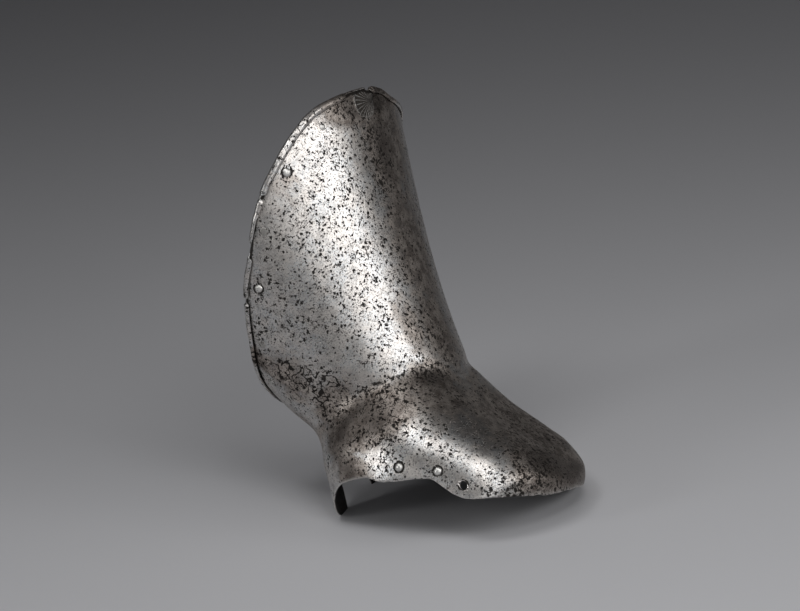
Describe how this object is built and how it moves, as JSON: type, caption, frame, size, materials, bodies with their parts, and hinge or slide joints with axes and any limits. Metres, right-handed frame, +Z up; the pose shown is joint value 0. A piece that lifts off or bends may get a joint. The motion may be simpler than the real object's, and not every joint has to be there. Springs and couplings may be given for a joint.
{
  "type": "gauntlet",
  "caption": "Hourglass gauntlet of thin sheet steel for the left hand: flared cuff with a rolled rim, narrow wrist and a plate over the back of the hand.",
  "frame": {"origin": "on the surface that it stands on, under the middle of its bounding box", "axes": "+Z up, +X towards the back of the hand and the knuckles, -Y towards the thumb side; the arm's axis leans 32 degrees back from +Z"},
  "size_m": [0.1306, 0.1318, 0.1697],
  "materials": {
    "plate_steel": "old hammered steel, worn bright in the open, tarnished brown and pitted",
    "rivet_steel": "old steel rivet heads, dull grey"
  },
  "bodies": {
    "root": {"plate": "plate_steel", "cuff_rivet_1": "rivet_steel", "cuff_rivet_2": "rivet_steel", "cuff_rivet_3": "rivet_steel", "cuff_rivet_4": "rivet_steel", "cuff_rivet_5": "rivet_steel", "cuff_rivet_6": "rivet_steel", "cuff_rivet_7": "rivet_steel", "cuff_rivet_8": "rivet_steel", "cuff_rivet_9": "rivet_steel", "cuff_rivet_10": "rivet_steel", "cuff_rivet_11": "rivet_steel", "cuff_rivet_12": "rivet_steel", "thumb_rivet_1": "rivet_steel", "thumb_rivet_2": "rivet_steel"}
  },
  "joints": []
}
